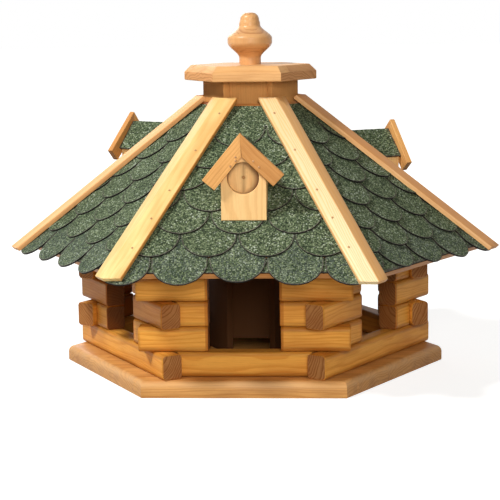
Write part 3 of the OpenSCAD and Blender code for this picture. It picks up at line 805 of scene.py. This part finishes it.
def hip_planes(side, gap):
    """The two upright planes through the hips of a side, drawn in by the gap."""
    planes = []
    for deg, sign in ((60 * side - 60, 1), (60 * side - 120, -1)):
        a = math.radians(deg)
        normal = Vector((-math.sin(a), math.cos(a), 0)) * sign
        planes.append((-normal * gap, normal))
    return planes


for side in range(6):
    rows = Piece(SIDES[side] + "_felt_rows")
    clip = hip_planes(side, 0.15)
    for i in range(ROWS):
        verts, faces, edge = thicken(*row_sheet(side, i, side * 10 + i), SHINGLE_T)
        tilt = Matrix.Rotation(-math.asin(NOSE / row_len(side, i)), 4, "X")
        place = slope_frame(side) @ Matrix.Translation((0, side_tip(side, i), NOSE)) @ tilt
        rows.take(verts, faces, place, 500 + side * 10 + i, edge=edge, clip=clip, tone=0.0 if i else 0.3,
                  sheet=True)
    verts, faces, edge = thicken(*starter_sheet(side), SHINGLE_T)
    rows.take(verts, faces, slope_frame(side), 560 + side, edge=edge, clip=clip, sheet=True)
    rows.done("felt", SIDES[side] + "_shingles", "green_felt", angle=50)


def add_cap_strip(piece, side, sign, more, tones, seed):
    """A strip of a hip cap: grain along the hip, y inwards over the slope, z out of it."""
    outline = [(0.02, CAP_TOP - 0.35), (0.5, CAP_TOP), (CAP_W / 2, CAP_TOP), (CAP_W - 1.0, CAP_TOP),
               (CAP_W - 0.3, CAP_TOP - 0.3), (CAP_W, CAP_TOP - 1.0), (CAP_W, LIFT), (CAP_W / 2, LIFT),
               (CAP_T * math.tan(HIP_LEAN), LIFT)]
    sb, cb = math.sin(HIP_TURN), math.cos(HIP_TURN)
    basis = Matrix(((-sb * sign, -cb * sign, 0, CAP_X0 * sign), (cb, -sb, 0, 0), (0, 0, 1, 0), (0, 0, 0, 1)))
    verts, faces = loft(outline, lambda y, z: (y * sb - CAP_OUT - more) / cb,
                        lambda y, z: CAP_RUN + (y * sb - CAP_TRIM) / cb, 30, 0, seed, 0.5)
    out = []
    for x, y, z in verts:
        if z > LIFT + 1 and y > 0.6:
            z += 0.25 * noise.noise(Vector((x * 0.02, y * 0.1, seed))) - 0.25
        out.append((x, y, z))
    foot, inner_edge, gain = tones
    piece.take(out, faces, slope_frame(side) @ basis, seed, (random.Random(seed).choice((30, -44)), 30),
               tone=lambda p: inner_edge if p.y > CAP_W - 0.9 else foot + gain * p.x / CAP_RUN)


# Wood of each cap, then for its two strips the tones of the foot and of the inner edge, and what
# the tone gains up to the neck
# The dark feet of the right hip's first strip and of the right front hip's second strip are painted shade on
# caps turned from the light, and that second strip's paling up to the neck is painted light against shade
# near the neck
CAP_STOCK = [
    ("cap_orange", (1.1, 0.0, 0.2), (0.2, 0.2, 0.1)), ("cap_orange", (0.3, 0.4, 0.1), (0.0, 0.2, 0.2)),
    ("cap_yellow", (0.2, 0.3, 0.3), (0.1, 0.3, 0.3)), ("cap_orange", (0.0, 0.6, 0.1), (0.0, 0.9, 0.1)),
    ("cap_yellow", (0.1, 0.5, 0.5), (0.0, 1.7, 0.55)), ("cap_cream", (0.0, 1.2, 0.75), (1.45, 1.2, -0.1))]
for k, (stock, *tones) in enumerate(CAP_STOCK):
    cap = Piece(HIPS[k] + "_hip_wood")
    # The hip at 60 k degrees lies between sides k + 1 and k + 2
    for m, sign in ((0, 1), (1, -1)):
        add_cap_strip(cap, (k + 1 + m) % 6, sign, CAP_MORE[k], tones[m], 700 + k + 10 * m)
    cap.done(stock, HIPS[k] + "_hip_cap", "cap_wood")


# Dormers

def face_with_hole(outline, hole):
    """Flat front face in x and z with a hole, and the two loops' indices."""
    bm = bmesh.new()
    loops = []
    for points in (outline, hole):
        loop = [bm.verts.new((x, 0.0, z)) for x, z in points]
        for a, b in zip(loop, loop[1:] + loop[:1]):
            bm.edges.new((a, b))
        loops.append(loop)
    bmesh.ops.triangle_fill(bm, edges=bm.edges[:], use_beauty=True)
    bm.verts.index_update()
    verts = [tuple(v.co) for v in bm.verts]
    faces = [tuple(v.index for v in f.verts) for f in bm.faces]
    outer, inner = ([v.index for v in loop] for loop in loops)
    bm.free()
    return verts, faces, outer, inner


def dormer_shape():
    """A block with a blind round hole, whose back follows the slope, and its darkened places: painted shade
    round the hole's rim, a dark grain streak and the drill mark.
    """
    half, ridge, wall = DORMER_HALF, DORMER_H, DORMER_WALL
    full = [(-half, 0.0), (half, 0.0), (half, wall), (0.0, ridge), (-half, wall)]
    inset = half - 0.6
    small = [(-inset, 0.6), (inset, 0.6), (inset, wall - 0.2), (0.0, ridge - 0.9), (-inset, wall - 0.2)]
    around = circle(48)
    mouth = [(HOLE_X + (HOLE_R + 0.4) * c, HOLE_Z + (HOLE_R + 0.4) * s) for c, s in around]
    verts, faces, outer, last = face_with_hole(small, mouth)

    def ring(points):
        start = len(verts)
        verts.extend(points)
        return list(range(start, len(verts)))

    def bridge(a, b):
        for j in range(len(a)):
            k = (j + 1) % len(a)
            faces.append((a[j], a[k], b[k], b[j]))

    front = ring([(x, 0.6, z) for x, z in full])
    back = ring([(x, max(0.7, z / math.tan(PITCH)), z) for x, z in full])
    bridge(outer, front)
    bridge(front, back)
    faces.append(tuple(back))
    # Down the hole's wall, over its floor and into the drill mark
    floor = HOLE_DEEP
    for r, y in ((HOLE_R, 0.4), (HOLE_R, floor - 0.4), (HOLE_R - 0.4, floor), (HOLE_R - 2.0, floor),
                 (HOLE_R - 5.0, floor), (9.0, floor), (5.0, floor), (2.4, floor), (1.6, floor + 0.6),
                 (0.8, floor + 2.0)):
        now = ring([(HOLE_X + r * c, y, HOLE_Z + r * s) for c, s in around])
        bridge(last, now)
        last = now
    faces.append(tuple(last))
    # Painted shade round the rim of the hole's floor, widest towards the upper right; a dark grain streak
    # down its middle; the drill mark darkened
    edge = []
    for x, y, z in verts:
        dx, dz = x - HOLE_X, z - HOLE_Z
        out = math.hypot(dx, dz)
        fade = 6.5 + 4.5 * (dx + dz) / HOLE_R
        rim_shade = max(0.0, 1 - (HOLE_R + 0.1 - out) / fade) if floor - 0.5 < y and out < HOLE_R + 0.2 else 0.0
        streak = 0.9 * max(0.0, 1 - abs(dx - 0.2) / 3.2) if floor - 0.1 < y and out < HOLE_R - 1 else 0.0
        mark = 1.0 if y > floor + 0.3 and out < 2.2 else 0.0
        edge.append(max(rim_shade, streak, mark))
    return verts, faces, edge


def felt_roof(seed):
    """Felt folded over the dormer: an outline in x and z run back to the roof."""
    steps = 12
    xs = [(DORMER_HALF + DORMER_FELT_OUT) * (1 - j / steps) for j in range(2 * steps + 1)]
    inner = [(x, DORMER_H - abs(x) * math.tan(DORMER_PITCH)) for x in xs]
    outer = []
    for x, z in reversed(inner):
        if abs(x) < 1e-6:
            outer.append((0.0, z + DORMER_FELT_T / DORMER_COS - 0.5))
        else:
            outer.append((x + math.copysign(DORMER_FELT_T * DORMER_SIN, x), z + DORMER_FELT_T * DORMER_COS))
    outline = inner + outer
    verts, faces = loft(
        outline, lambda x, z: 0.0, lambda x, z: max(2.0, z / math.tan(PITCH)), 14, 0, seed, 0.3)
    out, edge = [], []
    half = len(inner)
    for index, (y, x, z) in enumerate(verts):
        j = index % len(outline)
        wave = 0.5 * noise.noise(Vector((x * 0.25, y * 0.25, seed))) - 0.45 if j >= half else 0.0
        out.append((x, y, z + wave))
        edge.append(1.0 if y < 1 or j in (0, half - 1, half, len(outline) - 1) else 0.0)
    return out, faces, edge


def gable_strip(seed):
    """One gable board: x along it, y across from its outer edge, z towards the viewer."""
    outline = soften([(0, 0), (GABLE_W, 0), (GABLE_W, GABLE_T), (0, GABLE_T)], 0.5)
    mitre = math.tan(DORMER_PITCH)
    return loft(outline, lambda y, z: y * mitre + 0.06, lambda y, z: GABLE_L, 10, 0.2, seed, 0.5)


def gable_frame(i):
    """The gable boards' top on a dormer's face, leaning with them."""
    return dormer_frame(i) @ Matrix.Translation((GABLE_X, 0, GABLE_Z)) @ Matrix.Rotation(-GABLE_LEAN, 4, "Y")


DORMERS = ["front", "right_back", "left_back"]
felts = Piece("dormer_felt_roofs")
for i, word in enumerate(DORMERS):
    block = Piece(word + "_dormer_wood")
    verts, faces, edge = dormer_shape()
    block.take(verts, faces, dormer_frame(i), 800 + i, (0, 46), (2, 0, 1), edge=edge)
    block.done("dormer", word + "_dormer_block", "dormer_wood")
    verts, faces, edge = felt_roof(820 + i)
    felts.take(verts, faces, dormer_frame(i), 820 + i, axes=(1, 0, 2), edge=edge)
    boards = Piece(word + "_gable_wood")
    for m in (1, -1):
        basis = Matrix(((m * DORMER_COS, -m * DORMER_SIN, 0), (0, 0, -1), (-DORMER_SIN, -DORMER_COS, 0)))
        seed = 840 + i * 2 + m
        place = gable_frame(i) @ basis.to_4x4()
        # The right-hand board is darkened: painted shade on the side away from the light
        boards.take(*gable_strip(seed), place, seed, (30, 26), tone=0.0 if m < 0 else 0.75)
    boards.done("gable", word + "_gable_boards", "gable_wood")
felts.done("felt", "dormer_felts", "green_felt", angle=60)


# Nails

def nail_shape(top, low, seed):
    """A slightly domed head, a little out of true, on its shank."""
    rng = random.Random(seed)
    tilt_x, tilt_y = rng.uniform(-0.12, 0.12), rng.uniform(-0.12, 0.12)
    around = circle(16)
    shank = [(0.8, low), (0.8, top), (1.2, top)]
    head = [(1.3, top + 0.2), (1.15, top + 0.5), (0.8, top + 0.68), (0.3, top + 0.74)]
    verts = [(r * c, r * s, z) for r, z in shank for c, s in around]
    for r, z in head:
        for c, s in around:
            x, y = r * c, r * s
            verts.append((x, y, min(z + (x * tilt_x + y * tilt_y) * 0.3, top + 0.8)))
    return verts, tube(len(shank + head), len(around))


nails = Piece("small_nails")
for side in (0, 2, 4):
    for f in HIP_NAILS:
        nx = CAP_X0 - f * CAP_RUN * math.sin(HIP_TURN) - NAIL_IN * math.cos(HIP_TURN)
        ns = f * CAP_RUN * math.cos(HIP_TURN) - NAIL_IN * math.sin(HIP_TURN)
        number = int(f * 100)
        for m in (-1, 1):
            shape = nail_shape(CAP_TOP, CAP_NAIL_FOOT, side * 50 + number + m)
            nails.take(*shape, slope_frame(side) @ Matrix.Translation((m * nx, ns, 0)), side + number)
for i in range(len(DORMERS)):
    for m, marks in ((-1, NAILS_LEFT), (1, NAILS_RIGHT)):
        for along, inward in marks:
            x = m * (along * DORMER_COS - inward * DORMER_SIN)
            z = -along * DORMER_SIN - inward * DORMER_COS
            place = gable_frame(i) @ Matrix.Translation((x, 0, z)) @ Matrix.Rotation(math.pi / 2, 4, "X")
            shape = nail_shape(GABLE_T, GABLE_NAIL_FOOT, i * 9 + int(along))
            nails.take(*shape, place, i + int(along))
nails.done("nail", "nails", "nail_steel", angle=40)


# Lid

plate = Piece("lid_board")
top_a, rim_z = LID_A - LID_CHAMFER_IN, LID_T - LID_CHAMFER
levels = [(30, 0), (LID_A - 0.8, 0), (LID_A, 0.8), (LID_A, rim_z - 0.5), (LID_A - 0.3, rim_z + 0.1),
          (top_a + 0.5, LID_T - 0.5), (top_a - 0.2, LID_T), (30, LID_T)]
# Painted shade on the lid's sides right of x = 45 mm, below the top, away from the key lamp
plate.take(*hex_rings(levels, 0, LID_T, 4), Matrix.Translation((0, 0, SILO_TOP)), 900, (55, 60),
           tone=lambda p: 0.9 if p.x > 45 and p.z < LID_T - 0.3 else 0.0)
plate.done("lid", "lid_plate", "lid_wood", "lid")


def blend(z, z0, z1, r0, r1):
    return r0 + (r1 - r0) * (1 - math.cos(math.pi * (z - z0) / (z1 - z0))) / 2


def knob_r(z):
    """The turned knob's radius at a height."""
    if z < FOOT_H:
        return FOOT_R
    if z < BELLY_H:
        return blend(z, FOOT_H, BELLY_H, FOOT_R, BELLY_R)
    if z < BELLY_END:
        return BELLY_R
    if z < NECK_H:
        return blend(z, BELLY_END, NECK_H, BELLY_R, NECK_R)
    neck = blend(min(z, BUTTON_H), NECK_H, NECK_END, NECK_R, NECK_END_R)
    if z < BUTTON_H:
        return neck
    up = (z - BUTTON_H) / (KNOB_H - BUTTON_H)
    return FLAT_R + (neck - FLAT_R) * math.sqrt(max(0.0, 1 - up ** 2))


knob = Piece("turned_knob_wood")
rings, around = 125, circle(72)
verts = []
for j in range(rings):
    z = KNOB_H * j / (rings - 1)
    # Fine tool marks left by the turning
    r = knob_r(z) - 0.06 - 0.05 * math.sin(z * 4.1)
    verts += [(r * c, r * s, z) for c, s in around]
verts += [(2.0 * c, 2.0 * s, KNOB_H) for c, s in around]
knob.take(verts, tube(rings + 1, len(around)), Matrix.Translation((0, 0, LID_TOP)), 910, (0, 6), (2, 0, 1))
knob.done("knob", "lid_knob", "knob_wood", "lid", angle=40)


# CAD nodes that keep their mesh take their grain from the object's own place

def dress(node, mat):
    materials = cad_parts[node].data.materials
    materials.clear()
    materials.append(mat)


def own_wood(node, source, place, seed):
    """Copies a wood material and feeds it the place in a piece's frame instead of the attribute."""
    mat = MATS[source].copy()
    mat.name = f"{source}_on_{node}"
    tree = mat.node_tree
    attribute = next(x for x in tree.nodes if x.type == "ATTRIBUTE" and x.attribute_name == "grain")
    spin = tree.nodes.new("ShaderNodeMapping")
    spin.inputs["Rotation"].default_value = place.inverted().to_euler()
    spin.inputs["Location"].default_value = (seed * 131.0, 47.0, 33.0)
    spin.inputs["Scale"].default_value = (1000, 1000, 1000)
    tree.links.new(tree.nodes.new("ShaderNodeTexCoord").outputs["Object"], spin.inputs["Vector"])
    for link in list(attribute.outputs["Vector"].links):
        tree.links.new(spin.outputs["Vector"], link.to_socket)
    dress(node, mat)


for side in range(6):
    own_wood(SIDES[side] + "_roof_board", "roof", slope_frame(side).to_3x3().to_4x4(), side + 1)
own_wood("roof_gussets", "roof", Matrix.Identity(4), 9)
own_wood("dowels", "dowel", Matrix.Rotation(math.pi / 2, 4, "Y"), 3)
own_wood("lid_plug", "lid", Matrix.Identity(4), 5)
dress("knob_screw", MATS["screw"])


# Floor, light and camera

def make_floor():
    """A grey floor that looks nearly white where it is seen, and shades off near the house."""
    mesh = bpy.data.meshes.new("floor")
    r = 14.0
    mesh.from_pydata([(-r, -r, 0), (r, -r, 0), (r, r, 0), (-r, r, 0)], [], [(0, 1, 2, 3)])
    n = Nodes(bpy.data.materials.new("pale_floor"), "AddShader")
    place = n.add("NewGeometry").outputs["Position"]
    reach = n.add("VectorMath", {0: place}, operation="LENGTH").outputs["Value"]
    shade = n.times(n.seen(), n.fit(reach, 0.4, 2.4, 0.8, 1.0))
    glow = n.add("Emission", {"Strength": shade})
    grey = n.add("BsdfDiffuse", {"Color": (0.48, 0.48, 0.47, 1)})
    n.fill(n.shader, {0: grey.outputs[0], 1: glow.outputs[0]})
    mesh.materials.append(n.owner)
    add_object("floor", mesh)


def make_world():
    """A dim warm fill, which is white where it is seen."""
    world = bpy.data.worlds.new("studio")
    bpy.context.scene.world = world
    n = Nodes(world, "MixShader", "OutputWorld")
    warm = n.add("Background", {"Color": (1, 0.86, 0.72, 1), "Strength": 0.1})
    white = n.add("Background", {"Color": (1, 1, 1, 1), "Strength": 1.0})
    n.fill(n.shader, {0: n.seen(), 1: warm.outputs[0], 2: white.outputs[0]})


def lamp(name, at, size, watts, color=(1, 1, 1)):
    """A round lamp turned to the middle of the house."""
    data = bpy.data.lights.new(name, "AREA")
    data.shape = "DISK"
    data.size = size
    data.energy = watts
    data.color = color
    obj = add_object(name, data)
    obj.location = at
    obj.rotation_euler = (Vector((0, 0, 0.2)) - Vector(at)).to_track_quat("-Z", "Y").to_euler()


def make_camera():
    """The camera's turn, lens and place, fitted to the photograph."""
    az, pitch, roll = (math.radians(v) for v in (3.5597, 8.6666, -0.766))
    forward = Vector((-math.sin(az) * math.cos(pitch), math.cos(az) * math.cos(pitch), -math.sin(pitch)))
    right = Vector((math.cos(az), math.sin(az), 0))
    up = right.cross(forward)
    x_axis = right * math.cos(roll) + up * math.sin(roll)
    y_axis = up * math.cos(roll) - right * math.sin(roll)
    data = bpy.data.cameras.new("camera")
    data.lens = 117.55
    data.sensor_width = 36
    data.clip_end = 50
    obj = add_object("camera", data)
    axes = Matrix((x_axis, y_axis, -forward)).transposed().to_4x4()
    obj.matrix_world = Matrix.Translation((0.12025, -1.98435, 0.44106)) @ axes
    bpy.context.scene.camera = obj


make_floor()
make_world()
lamp("key", (-1.81, -1.22, 2.54), 0.45, 92)
lamp("front", (0.4, -2.95, 1.1), 1.2, 46, (1, 0.96, 0.89))
lamp("back", (-0.9, 2.8, 1.5), 1.6, 26)
make_camera()
bpy.context.scene.view_settings.view_transform = "Standard"
